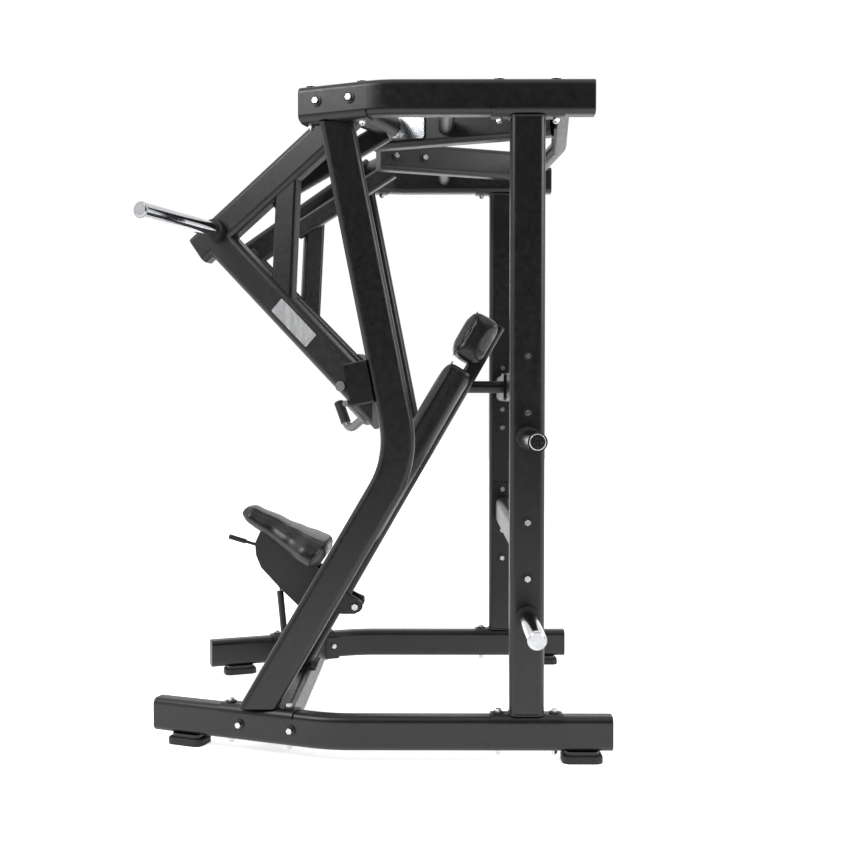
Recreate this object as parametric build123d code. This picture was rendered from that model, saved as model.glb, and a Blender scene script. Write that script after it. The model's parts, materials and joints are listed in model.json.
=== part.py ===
"""Plate-loaded shoulder press machine, modelled at real size in millimetres.

+Z is up, -Y is the front that the user faces, +X is the user's left.  The origin is on the
floor, in the middle of the machine's box.  The machine is symmetric about the plane X = 0, so
every left piece is built first and its right twin is its mirror image.
"""

from build123d import *
import os
from math import atan2, cos, degrees, radians, sin, sqrt, tan

# ---------------------------------------------------------------- driving dimensions
TALL = 97.0             # long side of the main oval-cornered tube
THICK = 60.0            # short side of the main tube
CORNER = 18.0           # outer corner radius of the main tube
WALL = 3.0              # tube wall
CAP = 4.0               # how far a plastic end cap stands out of its tube
CAP_PLUG = 18.0         # how far a cap's plug reaches into its tube
FOOT_H = 31.0           # floor to the underside of the base rails
PAD_H = 20.0            # rubber part of the foot
RAIL_X = 570.0          # centre of a base rail and a top beam beside the rear upright
RAIL_END = (-663.5, 648.5)      # front and rear ends of the base rails
RAIL_BEND_Y = -135.0    # where the rail turns inward
TOE = 20.0              # how far the front sections and the arms turn inward
RAIL_RADIUS = 350.0     # bend radius of the rail
FOOT_Y = 567.0          # feet, front and rear

UPRIGHT_Y = 412.0       # centre of the rear uprights
BEAM_Z0 = 1793.0        # underside of the top beams
BEAM_REAR = 593.0       # rear end of the top beams
BEAM_BEND_Y = 12.0      # where the top beam turns inward
BEAM_FRONT = -216.0     # front end of the top beams
SADDLE = 6.0            # thickness of the saddle flanges
SADDLE_L = 202.0        # length of the saddle flanges
FRONT_SADDLE = (-346.0, 236.0) # centre and length of the front uprights' lower saddles
SADDLE_WRAP = 16.0      # how far a saddle reaches down the tube's shoulder
BOLT_SPAN = 78.5        # saddle bolt to the upright's centre

FRONT_X = 512.0         # centre plane of the front uprights
FRONT_FOOT = (-347.0, FOOT_H + TALL + SADDLE)
FRONT_KNEE = (66.7, 842.0)
FRONT_HEAD = (-119.0, BEAM_Z0 - SADDLE)
FRONT_RADIUS = 290.0    # bend radius at the knee

LEAN = 60.0             # spine angle from the floor
SPINE_BACK = (249.8, 1009.5)   # a point on the spine's rear face, at the brace
SPINE_W = 100.0         # across the machine
SPINE_D = 50.0          # front to back
SPINE_TOP = 263.0       # measured along the spine from the brace

CROSS_Y = -300.0        # front base cross-member
CROSS_Z = (1052.0, 593.5)      # rear cross-members
CROSS_DEPTH = 50.0
FLANGE = 8.0            # bolted end plates

PAD_W = 280.0           # back and head pads
PAD_SIDE = 22.0         # rear face of the spine to the rear edge of the pads' sides
PAD_FRONT = 110.0       # rear face of the spine to the front of the back pad
HEAD_PROUD = 10.0       # how far the head pad stands in front of the back pad
PAD_SPAN = (-556.0, 94.0)      # back pad, along the spine
HEAD_SPAN = (111.0, 271.0)     # head pad, along the spine
BOARD = 12.0            # plywood board in the pads

HORN_R = 25.0           # storage horn
HORN_L = 290.0
HORN_Z = (904.5, 408.0)
ARM_HORN_R = 22.5
ARM_HORN_L = 385.0
COLLAR_R = 32.0
COLLAR_L = 22.0

AXIS_TURN = 28.0        # pivot axis, measured from the machine's cross direction
AXIS_OUT = (500.0, -118.0)     # where the pivot axis leaves the top beam
AXIS_Z = 1847.0
SHAFT_R = 15.0
RUNNING = 0.05          # radial running clearance
HUB_R = 38.0
HUB_SPAN = (46.0, 290.0)       # the hub along the pivot axis
ARM_AT = 90.6           # where the arm's plane meets the pivot axis
ARM_TALL = 92.0         # long side of the arm tubes
ARM_REACH = 516.0       # axis to the capped front end, level, in the arm's plane
ARM_DROP = 380.0        # axis to the capped front end, vertical
LOWER_START = (-415.0, -388.0) # a point on the lower tube's centreline, from the axis
LOWER_SLOPE = 44.3
STRUT_AT = (-242.0, -208.0)    # strut's level at 700 and at 60 below the axis
ARM_TAIL = 66.0         # lower tube's vertical end cut, from the axis

PIVOT_BEAM_TURN = 18.6
PIVOT_BEAM_FRONT = (149.0, -34.0)
PIVOT_BEAM_REAR_Y = 505.0

SEAT_HINGE = (-105.0, 335.0)
SPRING_FOOT = (-339.0, 179.0)
SPRING_HEAD = (-364.0, 437.0)
LEVER_PIVOT = (-398.0, 518.0)
LEVER_TIP = (-526.0, 557.0)
SEAT_TILT = 34.4
SEAT_TOP_TILT = 25.4    # the seat gets thicker to the rear
SEAT_NOSE_H = 48.0      # height of the seat's front over its base
SEAT_FRONT = (-486.0, 638.0)   # front of the seat's base line
SEAT_L = 315.0
SEAT_PLATE_X = 56.0     # centre of each seat side plate
SEAT_PLATE_T = 6.0

BOLT_R = 6.0
HEAD_R = 9.0
HEAD_H = 8.0
WASHER_R = 15.0
WASHER_H = 3.5

RAIL_Z = FOOT_H + TALL / 2
BEAM_Z = BEAM_Z0 + TALL / 2
UP = Vector(0, 0, 1)
REAR = Vector(0, 1, 0)
LEFT = Vector(1, 0, 0)


# ---------------------------------------------------------------- shape helpers
def section(wide, deep, radius, wall=WALL):
    """Return the hollow oval-cornered section of a tube, its wide side along X."""
    inner = RectangleRounded(wide - 2 * wall, deep - 2 * wall, radius - wall)
    return RectangleRounded(wide, deep, radius) - inner


def straight(start, end, wide_dir, wide=TALL, deep=THICK, radius=CORNER, wall=WALL):
    """Return a straight hollow tube between two points."""
    run = Vector(*end) - Vector(*start)
    plane = Plane(origin=start, x_dir=wide_dir, z_dir=run)
    return extrude(plane * section(wide, deep, radius, wall), amount=run.length)


def envelope(start, end, wide_dir, wide=TALL, deep=THICK, radius=CORNER):
    """Return the filled outside of a straight tube, for trimming what meets it."""
    run = Vector(*end) - Vector(*start)
    plane = Plane(origin=start, x_dir=wide_dir, z_dir=run)
    return extrude(plane * RectangleRounded(wide, deep, radius), amount=run.length)


def bent(points, bend, wide_dir, wide=TALL, deep=THICK, radius=CORNER, filled=False):
    """Return a tube bent once along points, hollow unless filled."""
    path = FilletPolyline(*points, radius=bend)
    plane = Plane(origin=path @ 0, x_dir=wide_dir, z_dir=path % 0)
    profile = RectangleRounded(wide, deep, radius) if filled else section(wide, deep, radius)
    return sweep(plane * profile, path=path)


def rod(start, end, radius, bore=0.0):
    """Return a round bar between two points, with a bore if one is given."""
    run = Vector(*end) - Vector(*start)
    plane = Plane(origin=start, z_dir=run)
    bar = extrude(plane * Circle(radius), amount=run.length)
    if bore:
        bar -= extrude(plane * Circle(bore), amount=run.length)
    return bar


def slab(centre, x_dir, z_dir, size, radius=0.0):
    """Return a plate centred on a point, its size given along x_dir, its own y and z_dir."""
    plane = Plane(origin=centre, x_dir=x_dir, z_dir=z_dir)
    flat = RectangleRounded(size[0], size[1], radius) if radius else Rectangle(size[0], size[1])
    return extrude(plane * flat, amount=size[2] / 2, both=True)


def end_cap(at, outward, wide_dir, wide=TALL, deep=THICK, radius=CORNER):
    """Return a plastic cap that closes a tube's open end and plugs into it."""
    plane = Plane(origin=at, x_dir=wide_dir, z_dir=outward)
    lid = extrude(plane * RectangleRounded(wide, deep, radius), amount=CAP)
    top_edges = lid.faces().sort_by(Axis(at, outward))[-1].edges()
    lid = fillet(top_edges, CAP * 0.6)
    gap = 2 * WALL + 0.4
    plug = extrude(plane * RectangleRounded(wide - gap, deep - gap, radius - WALL), amount=-CAP_PLUG)
    return lid + plug


def hexagon(at, outward, radius, height):
    """Return a hexagonal bolt head or nut standing on a surface."""
    plane = Plane(origin=at, z_dir=outward)
    return extrude(plane * RegularPolygon(radius, 6), amount=height)


def twin(shape):
    """Return the right-hand twin of a left-hand piece."""
    return mirror(shape, about=Plane.YZ)


def along(start, direction, distance):
    """Return the point at a distance from start along a direction."""
    return Vector(*start) + Vector(*direction) * distance


FRAME = {}


def keep(name, *shapes):
    """Store the solids of one node."""
    solids = []
    for shape in shapes:
        solids.extend(shape.solids())
    FRAME[name] = Compound(children=solids)


def keep_pair(name, *shapes):
    """Store a left node and its right twin."""
    keep(name + "_left", *shapes)
    keep(name + "_right", *[twin(s) for s in shapes])


def keep_both(name, *shapes):
    """Store left pieces and their twins in one node."""
    keep(name, *shapes, *[twin(s) for s in shapes])


# ---------------------------------------------------------------- base rails and top beams
def toed_x(y, bend_y):
    """Return how far out a rail's centreline is at y."""
    return RAIL_X - tan(radians(TOE)) * max(0.0, bend_y - y)


TOE_OUT = Vector(cos(radians(TOE)), -sin(radians(TOE)), 0)      # outward from a toed face
TOE_FORE = Vector(-sin(radians(TOE)), -cos(radians(TOE)), 0)    # forward along a toed tube

rail_front = (toed_x(RAIL_END[0], RAIL_BEND_Y), RAIL_END[0], RAIL_Z)
rail_path = [(RAIL_X, RAIL_END[1], RAIL_Z), (RAIL_X, RAIL_BEND_Y, RAIL_Z), rail_front]
beam_front = (toed_x(BEAM_FRONT, BEAM_BEND_Y), BEAM_FRONT, BEAM_Z)
beam_path = [(RAIL_X, BEAM_REAR, BEAM_Z), (RAIL_X, BEAM_BEND_Y, BEAM_Z), beam_front]


def bolt_holes(points, direction, length, radius=BOLT_R + 0.5):
    """Return the cutters of a row of bolt holes."""
    return [rod(p, along(p, direction, length), radius) for p in points]


def saddle(y, x, z, upward, turn_dir, length=SADDLE_L):
    """Return a saddle flange that wraps over a tube's shoulder at (x, y)."""
    centre = Vector(x, y, z)
    start = centre - turn_dir * (length / 2)
    plane = Plane(origin=start, x_dir=UP, z_dir=turn_dir)
    shell = RectangleRounded(TALL + 2 * SADDLE, THICK + 2 * SADDLE, CORNER + SADDLE)
    shell -= RectangleRounded(TALL, THICK, CORNER)
    wrap = extrude(plane * shell, amount=length)
    reach = SADDLE + SADDLE_WRAP
    middle = centre + UP * (upward * (TALL / 2 + SADDLE - reach / 2))
    return wrap & slab(middle, turn_dir, UP, (length, 4 * THICK, reach))


front_saddle_x = toed_x(FRONT_SADDLE[0], RAIL_BEND_Y)
head_saddle_x = toed_x(FRONT_HEAD[0], BEAM_BEND_Y)
rail_bolts = [Vector(RAIL_X, UPRIGHT_Y - BOLT_SPAN, 0), Vector(RAIL_X, UPRIGHT_Y + BOLT_SPAN, 0)]
head_centre = Vector(head_saddle_x, FRONT_HEAD[0], 0)
FRONT_BOLTS_Y = (-434.0, -258.0)       # through the rails, either side of the front upright
front_bolts = [Vector(toed_x(y, RAIL_BEND_Y), y, 0) for y in FRONT_BOLTS_Y]
head_bolts = [head_centre + TOE_FORE * BOLT_SPAN * k for k in (1, -1)]

CROSS_BOLTS_Y = (-394.0, -240.0)       # through the rails, into the front cross-member
HOUSING_BOLTS_Y = (-165.0, -70.0)      # through the top beams, into the outer housings
cross_bolts = [Vector(toed_x(y, RAIL_BEND_Y), y, RAIL_Z) for y in CROSS_BOLTS_Y]
housing_bolts = [Vector(toed_x(y, BEAM_BEND_Y), y, BEAM_Z + 3) for y in HOUSING_BOLTS_Y]

rail = bent(rail_path, RAIL_RADIUS, UP)
for spot in rail_bolts + front_bolts:
    rail -= rod((spot.X, spot.Y, FOOT_H - 1), (spot.X, spot.Y, FOOT_H + TALL + 1), BOLT_R + 0.5)
for spot in cross_bolts:
    rail -= rod(spot - TOE_OUT * THICK, spot + TOE_OUT * THICK, BOLT_R + 0.5)
keep_pair("base_rail", rail)

beam = bent(beam_path, RAIL_RADIUS * 0.6, UP)
for spot in rail_bolts + head_bolts:
    beam -= rod((spot.X, spot.Y, BEAM_Z0 - 1), (spot.X, spot.Y, BEAM_Z0 + TALL + 1), BOLT_R + 0.5)
for spot in housing_bolts:
    beam -= rod(spot - TOE_OUT * THICK, spot + TOE_OUT * THICK, BOLT_R + 0.5)
keep_pair("top_beam", beam)

# ---------------------------------------------------------------- uprights
low_saddle = saddle(UPRIGHT_Y, RAIL_X, RAIL_Z, 1, REAR)
high_saddle = saddle(UPRIGHT_Y, RAIL_X, BEAM_Z, -1, REAR)
rear_upright = straight((RAIL_X, UPRIGHT_Y, FOOT_H + TALL + SADDLE),
                        (RAIL_X, UPRIGHT_Y, BEAM_Z0 - SADDLE), REAR)
rear_upright = rear_upright + low_saddle + high_saddle
for spot in rail_bolts:
    rear_upright -= rod((spot.X, spot.Y, FOOT_H + TALL - 1),
                        (spot.X, spot.Y, FOOT_H + TALL + SADDLE + 1), BOLT_R + 0.5)
    rear_upright -= rod((spot.X, spot.Y, BEAM_Z0 - SADDLE - 1),
                        (spot.X, spot.Y, BEAM_Z0 + 1), BOLT_R + 0.5)
side_holes = [z + step for z in CROSS_Z for step in (-78.0, 78.0)] + list(HORN_Z)
for height in side_holes:
    rear_upright -= rod((RAIL_X - THICK, UPRIGHT_Y, height), (RAIL_X + THICK, UPRIGHT_Y, height),
                        BOLT_R + 0.5)
keep_pair("rear_upright", rear_upright)

front_path = [(FRONT_X, FRONT_FOOT[0], FRONT_FOOT[1]), (FRONT_X, *FRONT_KNEE),
              (FRONT_X, FRONT_HEAD[0], FRONT_HEAD[1])]
low_run = Vector(0, FRONT_KNEE[0] - FRONT_FOOT[0], FRONT_KNEE[1] - FRONT_FOOT[1]).normalized()
high_run = Vector(0, FRONT_HEAD[0] - FRONT_KNEE[0], FRONT_HEAD[1] - FRONT_KNEE[1]).normalized()
long_path = [along(front_path[0], low_run, -90), Vector(*front_path[1]),
             along(front_path[2], high_run, 60)]
front_upright = bent(long_path, FRONT_RADIUS, REAR)
clear_height = slab((FRONT_X, 0, (FRONT_FOOT[1] + FRONT_HEAD[1]) / 2), LEFT, UP,
                    (400, 1200, FRONT_HEAD[1] - FRONT_FOOT[1]))
front_upright = front_upright & clear_height
front_low_saddle = saddle(FRONT_SADDLE[0], front_saddle_x, RAIL_Z, 1, TOE_FORE, FRONT_SADDLE[1])
front_high_saddle = saddle(FRONT_HEAD[0], head_saddle_x, BEAM_Z, -1, TOE_FORE)
front_upright = front_upright + front_low_saddle + front_high_saddle
for spot in front_bolts:
    front_upright -= rod((spot.X, spot.Y, FOOT_H + TALL - 1),
                         (spot.X, spot.Y, FOOT_H + TALL + SADDLE + 1), BOLT_R + 0.5)
for spot in head_bolts:
    front_upright -= rod((spot.X, spot.Y, BEAM_Z0 - SADDLE - 1),
                         (spot.X, spot.Y, BEAM_Z0 + 1), BOLT_R + 0.5)
keep_pair("front_upright", front_upright)

# ---------------------------------------------------------------- feet
foot_mounts = []
foot_pads = []
for y in (FOOT_Y, -FOOT_Y):
    run_dir = REAR if y > 0 else TOE_FORE
    spot = Vector(toed_x(y, RAIL_BEND_Y), y, 0)
    foot_mounts.append(slab(spot + UP * (PAD_H + FOOT_H) / 2, run_dir, UP,
                            (93, 58, FOOT_H - PAD_H), 16))
    pad = slab(spot + UP * PAD_H / 2, run_dir, UP, (114, 78, PAD_H), 22)
    foot_pads.append(chamfer(pad.edges().group_by(Axis.Z)[-1], 3))
keep_both("foot_mounts", *foot_mounts)
keep_both("foot_pads", *foot_pads)

# ---------------------------------------------------------------- base and rear cross-members
rail_filled = bent(rail_path, RAIL_RADIUS, UP, filled=True)
cross_reach = toed_x(CROSS_Y, RAIL_BEND_Y)
cross = straight((-cross_reach, CROSS_Y, RAIL_Z), (cross_reach, CROSS_Y, RAIL_Z), UP, TALL, TALL)
flange_y = sum(CROSS_BOLTS_Y) / 2
flange_spot = Vector(toed_x(flange_y, RAIL_BEND_Y), flange_y, RAIL_Z)
cross_flange = slab(flange_spot - TOE_OUT * (THICK + FLANGE) / 2 - UP * 9, TOE_FORE, TOE_OUT,
                    (210, 80, FLANGE), 8)
for spot in cross_bolts:
    cross_flange -= rod(spot - TOE_OUT * THICK, spot + TOE_OUT * THICK, BOLT_R + 0.5)
inner_side = slab(flange_spot - TOE_OUT * (THICK / 2 + FLANGE - 200), TOE_FORE, TOE_OUT,
                  (900, 400, 400))
cross = cross - inner_side - twin(inner_side)
keep("front_base_crossmember", cross + cross_flange + twin(cross_flange))

upright_inner = RAIL_X - THICK / 2
for name, height in zip(("rear_crossmember_upper", "rear_crossmember_lower"), CROSS_Z):
    reach = upright_inner - FLANGE
    member = straight((-reach, UPRIGHT_Y, height), (reach, UPRIGHT_Y, height), UP, TALL, CROSS_DEPTH, 20)
    for side in (1, -1):
        plate = slab((side * (reach + FLANGE / 2), UPRIGHT_Y, height), UP, LEFT, (206, 78, FLANGE), 14)
        for step in (-78.0, 78.0):
            plate -= rod((side * (reach - 1), UPRIGHT_Y, height + step),
                         (side * (upright_inner + 1), UPRIGHT_Y, height + step), BOLT_R + 0.5)
        member += plate
    keep(name, member)

# ---------------------------------------------------------------- spine and rear brace
LEAN_UP = Vector(0, cos(radians(LEAN)), sin(radians(LEAN)))
LEAN_FRONT = Vector(0, -sin(radians(LEAN)), cos(radians(LEAN)))


def on_spine(distance, forward, x=0.0):
    """Return a point from its distance along the spine and in front of the rear face."""
    return Vector(x, *SPINE_BACK) + LEAN_UP * distance + LEAN_FRONT * forward


SPINE_BASE_Z = FOOT_H + TALL + FLANGE
spine_low = (SPINE_BASE_Z - SPINE_BACK[1]) / sin(radians(LEAN)) - 60
spine = straight(on_spine(spine_low, SPINE_D / 2), on_spine(SPINE_TOP, SPINE_D / 2), LEFT,
                 SPINE_W, SPINE_D, 12)
spine = spine & slab((0, 0, SPINE_BASE_Z + 800), LEFT, UP, (400, 2400, 1600))
spine_plate = slab((0, -292, FOOT_H + TALL + FLANGE / 2), LEFT, UP, (150, 122, FLANGE), 8)
keep("spine", spine + spine_plate)

BRACE_Z = CROSS_Z[0]
brace_front = SPINE_BACK[0] + (BRACE_Z - SPINE_BACK[1]) / tan(radians(LEAN))
brace_rear = UPRIGHT_Y - CROSS_DEPTH / 2 - FLANGE
brace = rod((0, brace_front - 30, BRACE_Z), (0, brace_rear, BRACE_Z), 20, 17)
brace -= envelope(on_spine(-400, SPINE_D / 2), on_spine(400, SPINE_D / 2), LEFT, SPINE_W, SPINE_D, 12)
brace = brace.solids().sort_by(Axis.Y)[-1]
brace_plate = slab((0, brace_rear + FLANGE / 2, BRACE_Z), LEFT, REAR, (120, 88, FLANGE), 10)
keep("rear_brace", brace + brace_plate)

# ---------------------------------------------------------------- top frame inside
beam_filled = bent(beam_path, RAIL_RADIUS * 0.6, UP, filled=True)
PIVOT_FORE = Vector(-sin(radians(PIVOT_BEAM_TURN)), -cos(radians(PIVOT_BEAM_TURN)), 0)
PIVOT_SIDE = Vector(cos(radians(PIVOT_BEAM_TURN)), -sin(radians(PIVOT_BEAM_TURN)), 0)
pivot_start = Vector(*PIVOT_BEAM_FRONT, BEAM_Z)
pivot_length = (PIVOT_BEAM_REAR_Y - PIVOT_BEAM_FRONT[1]) / cos(radians(PIVOT_BEAM_TURN))
pivot_end = pivot_start - PIVOT_FORE * pivot_length
INNER_BOLTS_Y = (15.0, 112.0)
inner_bolts = [pivot_start - PIVOT_FORE * ((y - PIVOT_BEAM_FRONT[1]) / cos(radians(PIVOT_BEAM_TURN)))
               for y in INNER_BOLTS_Y]

V_R = 25.0              # rear top cross-member, bent in a shallow V
V_APEX = Vector(0, 562, BEAM_Z)
v_side = Vector(RAIL_X, 506, BEAM_Z)
v_path = FilletPolyline(Vector(-v_side.X, v_side.Y, v_side.Z), V_APEX, v_side, radius=160)
v_tube = sweep(Plane(origin=v_path @ 0, z_dir=v_path % 0) * (Circle(V_R) - Circle(V_R - WALL)),
               path=v_path)
v_tube = v_tube - beam_filled - twin(beam_filled)
v_tube = v_tube.solids().sort_by(SortBy.VOLUME)[-1]
v_filled = sweep(Plane(origin=v_path @ 0, z_dir=v_path % 0) * Circle(V_R), path=v_path)
keep("rear_top_crossmember", v_tube)

pivot_beam = straight(pivot_start, pivot_end, UP) - v_filled
pivot_beam = pivot_beam.solids().sort_by(SortBy.VOLUME)[-1]
for spot in inner_bolts:
    pivot_beam -= rod(spot - PIVOT_SIDE * THICK, spot + PIVOT_SIDE * THICK, BOLT_R + 0.5)
keep_pair("pivot_beam", pivot_beam)

pivot_filled = envelope(pivot_start, pivot_end, UP)
stub_in = Vector(PIVOT_BEAM_FRONT[0] + tan(radians(PIVOT_BEAM_TURN)) * 224, 190, BEAM_Z)
stub = rod(stub_in, (RAIL_X, 190, BEAM_Z), 24, 21) - pivot_filled - beam_filled
stub = stub.solids().sort_by(SortBy.VOLUME)[-1]
keep_both("top_cross_stubs", stub)

# ---------------------------------------------------------------- pivot shafts and housings
AXIS_IN = Vector(-cos(radians(AXIS_TURN)), sin(radians(AXIS_TURN)), 0)
axis_start = Vector(*AXIS_OUT, AXIS_Z)


def on_axis(distance):
    """Return a point on the pivot axis, measured inward from the top beam."""
    return axis_start + AXIS_IN * distance


def plate_on(points, side, length, thickness):
    """Return a flange plate against a tube's side face, centred on its bolts."""
    middle = (points[0] + points[1]) * 0.5
    centre = Vector(middle.X, middle.Y, AXIS_Z) + side * (THICK + thickness) / 2
    fore = Vector(side.Y, -side.X, 0)
    return slab(centre, fore, side, (length, 70, thickness), 8)


outer_plate = plate_on(housing_bolts, TOE_OUT * -1, 150, FLANGE)
inner_plate = plate_on(inner_bolts, PIVOT_SIDE, 150, FLANGE)
outer_boss = rod(on_axis(-25), on_axis(40), 34) - beam_filled - outer_plate
outer_boss = outer_boss.solids().sort_by(SortBy.VOLUME)[-1]
inner_boss = rod(on_axis(296), on_axis(370), 34) - pivot_filled - inner_plate
inner_boss = inner_boss.solids().sort_by(SortBy.VOLUME)[-1]
shaft = rod(on_axis(8), on_axis(332), SHAFT_R) - beam_filled - pivot_filled
shaft = shaft - outer_plate - inner_plate
shaft = shaft.solids().sort_by(SortBy.VOLUME)[-1]
housings = []
for plate, boss, bolts, side in ((outer_plate, outer_boss, housing_bolts, TOE_OUT),
                                 (inner_plate, inner_boss, inner_bolts, PIVOT_SIDE)):
    housing = plate + (boss - shaft)
    for spot in bolts:
        housing -= rod(spot - side * 2 * THICK, spot + side * 2 * THICK, BOLT_R + 0.5)
    housings.append(housing)
keep_both("pivot_housings", *housings)
keep_both("pivot_shafts", shaft)

# ---------------------------------------------------------------- arms
arm_origin = on_axis(ARM_AT)


def in_arm(level, height, out=0.0):
    """Return a point in the arm's plane, measured rearward and up from the pivot axis."""
    return arm_origin - TOE_FORE * level + UP * height + TOE_OUT * out


def in_arm_dir(level, height):
    """Return a direction in the arm's plane."""
    return (TOE_FORE * -level + UP * height).normalized()


hub = rod(on_axis(HUB_SPAN[0]), on_axis(HUB_SPAN[1]), HUB_R, SHAFT_R + RUNNING)
hub = chamfer(hub.edges().filter_by(GeomType.CIRCLE).sort_by(SortBy.RADIUS)[-2:], 3)
hub_filled = rod(on_axis(HUB_SPAN[0] - 5), on_axis(HUB_SPAN[1] + 5), HUB_R)

arm_tip = in_arm(-ARM_REACH, -ARM_DROP)
arm_top = in_arm(0, 4)
upper_run = (arm_top - arm_tip).normalized()
upper_side = in_arm_dir(-upper_run.Z, sqrt(1 - upper_run.Z ** 2))
upper_tube = straight(arm_tip, arm_top, upper_side, ARM_TALL) - hub_filled
upper_tube = upper_tube.solids().sort_by(SortBy.VOLUME)[-1]
upper_filled = envelope(arm_tip, arm_top, upper_side, ARM_TALL)

slope = radians(LOWER_SLOPE)
lower_run = in_arm_dir(cos(slope), -sin(slope))
lower_side = in_arm_dir(sin(slope), cos(slope))
lower_start = in_arm(*LOWER_START)
tail_run = (ARM_TAIL - LOWER_START[0]) / cos(slope)
lower_end = lower_start + lower_run * (tail_run + 80)
lower_tube = straight(lower_start - lower_run * 60, lower_end, lower_side, ARM_TALL)
lower_filled = envelope(lower_start - lower_run * 60, lower_end, lower_side, ARM_TALL)
tail_cut = slab(in_arm(ARM_TAIL + 200, -900), TOE_FORE, UP, (400, 200, 900))
lower_tube += lower_filled & slab(in_arm(ARM_TAIL - 2, -900), TOE_FORE, UP, (4, 200, 900))
lower_tube = lower_tube - upper_filled - tail_cut
lower_tube = lower_tube.solids().sort_by(SortBy.VOLUME)[-1]

strut = straight(in_arm(STRUT_AT[0], -700), in_arm(STRUT_AT[1], -60), TOE_FORE, 70, 40, 10)
strut = strut - upper_filled - lower_filled
strut = strut.solids().sort_by(Axis.Z)[-2] if len(strut.solids()) > 2 else strut.solids()[0]

# The hub brace runs from the hub's inner end down to the middle of the upper tube.
brace_top = on_axis(HUB_SPAN[1] - 32) - UP * 26
brace_foot = in_arm(-285, -236, -10)
hub_brace = straight(brace_foot, brace_top, UP, 60, 40, 10) - hub_filled - upper_filled
hub_brace = hub_brace.solids().sort_by(SortBy.VOLUME)[-1]

HORN_AT = (-445.0, -326.0)             # arm horn, from the axis
horn_base = in_arm(*HORN_AT, THICK / 2)
HORN_STUB_R = 18.0
arm_horn = rod(horn_base + TOE_OUT * COLLAR_L, horn_base + TOE_OUT * ARM_HORN_L,
               ARM_HORN_R, ARM_HORN_R - 4)
arm_stub = rod(horn_base, horn_base + TOE_OUT * (COLLAR_L + 20), HORN_STUB_R)
arm_plug = rod(horn_base + TOE_OUT * (ARM_HORN_L - 14), horn_base + TOE_OUT * (ARM_HORN_L + 3),
               ARM_HORN_R - 4)
arm_plug = chamfer(arm_plug.edges().group_by(Axis(horn_base, TOE_OUT))[-1], 2)
arm_collar = rod(horn_base, horn_base + TOE_OUT * COLLAR_L, COLLAR_R, HORN_STUB_R)
horn_disc = rod(in_arm(*HORN_AT, -THICK / 2), in_arm(*HORN_AT, -THICK / 2 - 5), 20)



def under_tube(distance, below, out=0.0):
    """Return a point under the lower tube, measured along it from its start."""
    return lower_start + lower_run * distance - lower_side * (ARM_TALL / 2 + below) + TOE_OUT * out


GRIP_R = 17.5           # rubber over the cross handle
HANDLE_R = 15.0         # cross handle, through the lower tube
SIDE_GRIP_R = 14.5
SIDE_R = 12.0           # hooked side handle
BAR_R = 9.0             # bar under the lower tube that carries the side handle
cross_at = under_tube(560, -20)
cross_handle = rod(cross_at + TOE_OUT * 38, cross_at - TOE_OUT * 150, HANDLE_R) - lower_filled
cross_grip = rod(cross_at - TOE_OUT * 40, cross_at - TOE_OUT * 147, GRIP_R, HANDLE_R)
bar = rod(under_tube(602, BAR_R), under_tube(676, BAR_R), BAR_R)
bar_end = rod(under_tube(602, BAR_R, -24), under_tube(602, BAR_R, 24), BAR_R)
carrier = (bar + bar_end) - lower_filled
side_start = under_tube(664, BAR_R, -6)
side_knee = in_arm(-34, -928, -28)
side_tip = in_arm(-74, -843, -42)
side_path = FilletPolyline(side_start, side_knee, side_tip, radius=24)
side_handle = sweep(Plane(origin=side_path @ 0, z_dir=side_path % 0) * Circle(SIDE_R),
                    path=side_path)
side_handle = side_handle - lower_filled - carrier
side_handle = side_handle.solids().sort_by(SortBy.VOLUME)[-1]
grip_run = (side_tip - side_knee).normalized()
side_grip = rod(side_tip - grip_run * 68, side_tip - grip_run * 2, SIDE_GRIP_R, SIDE_R)

badge_spot = lower_start + lower_run * 320 + lower_side * 2 + TOE_OUT * (THICK / 2 + 1)
badge = slab(badge_spot, lower_run, TOE_OUT, (158, 50, 2), 4)

keep_pair("arm_upper_tube", upper_tube)
keep_pair("arm_lower_tube", lower_tube)
keep_pair("arm_braces", strut, hub_brace)
keep_pair("arm_hub", hub)
keep_pair("arm_horn", arm_horn, arm_stub, arm_plug, horn_disc)
keep_pair("arm_horn_collar", arm_collar)
keep_pair("arm_handles", cross_handle, carrier, side_handle)
keep_pair("arm_grips", cross_grip, side_grip)
keep_pair("arm_badge", badge)
keep_pair("arm_end_cap", end_cap(arm_tip, upper_run * -1, upper_side, ARM_TALL))

# ---------------------------------------------------------------- arm stops
block_z = 1072.0
block_front = FRONT_KNEE[0] + (block_z - FRONT_KNEE[1]) * high_run.Y / high_run.Z
block_normal = Vector(0, -high_run.Z, high_run.Y)
face_spot = Vector(FRONT_X, block_front, block_z) + block_normal * TALL / 2
stop_block = slab(face_spot + block_normal * 33, high_run, block_normal, (122, 60, 66), 6)
pad_spot = lower_start + lower_run * (tail_run - 110) + lower_side * (ARM_TALL / 2 + 0.3)
stop_bumper = rod(pad_spot, pad_spot + lower_side * 22, 18)
arm_bracket_top = pad_spot + lower_side * 26
bracket = slab(arm_bracket_top, lower_run, lower_side, (60, 46, 8), 4)
web = slab((arm_bracket_top.X + 20, arm_bracket_top.Y, arm_bracket_top.Z) , lower_run, lower_side,
           (60, 40, 8))
upright_solid = bent(long_path, FRONT_RADIUS, REAR, filled=True)
stop_arm = (bracket + web) - upright_solid
keep_both("stop_brackets", stop_block, stop_arm)
keep_both("stop_bumpers", stop_bumper)

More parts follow.
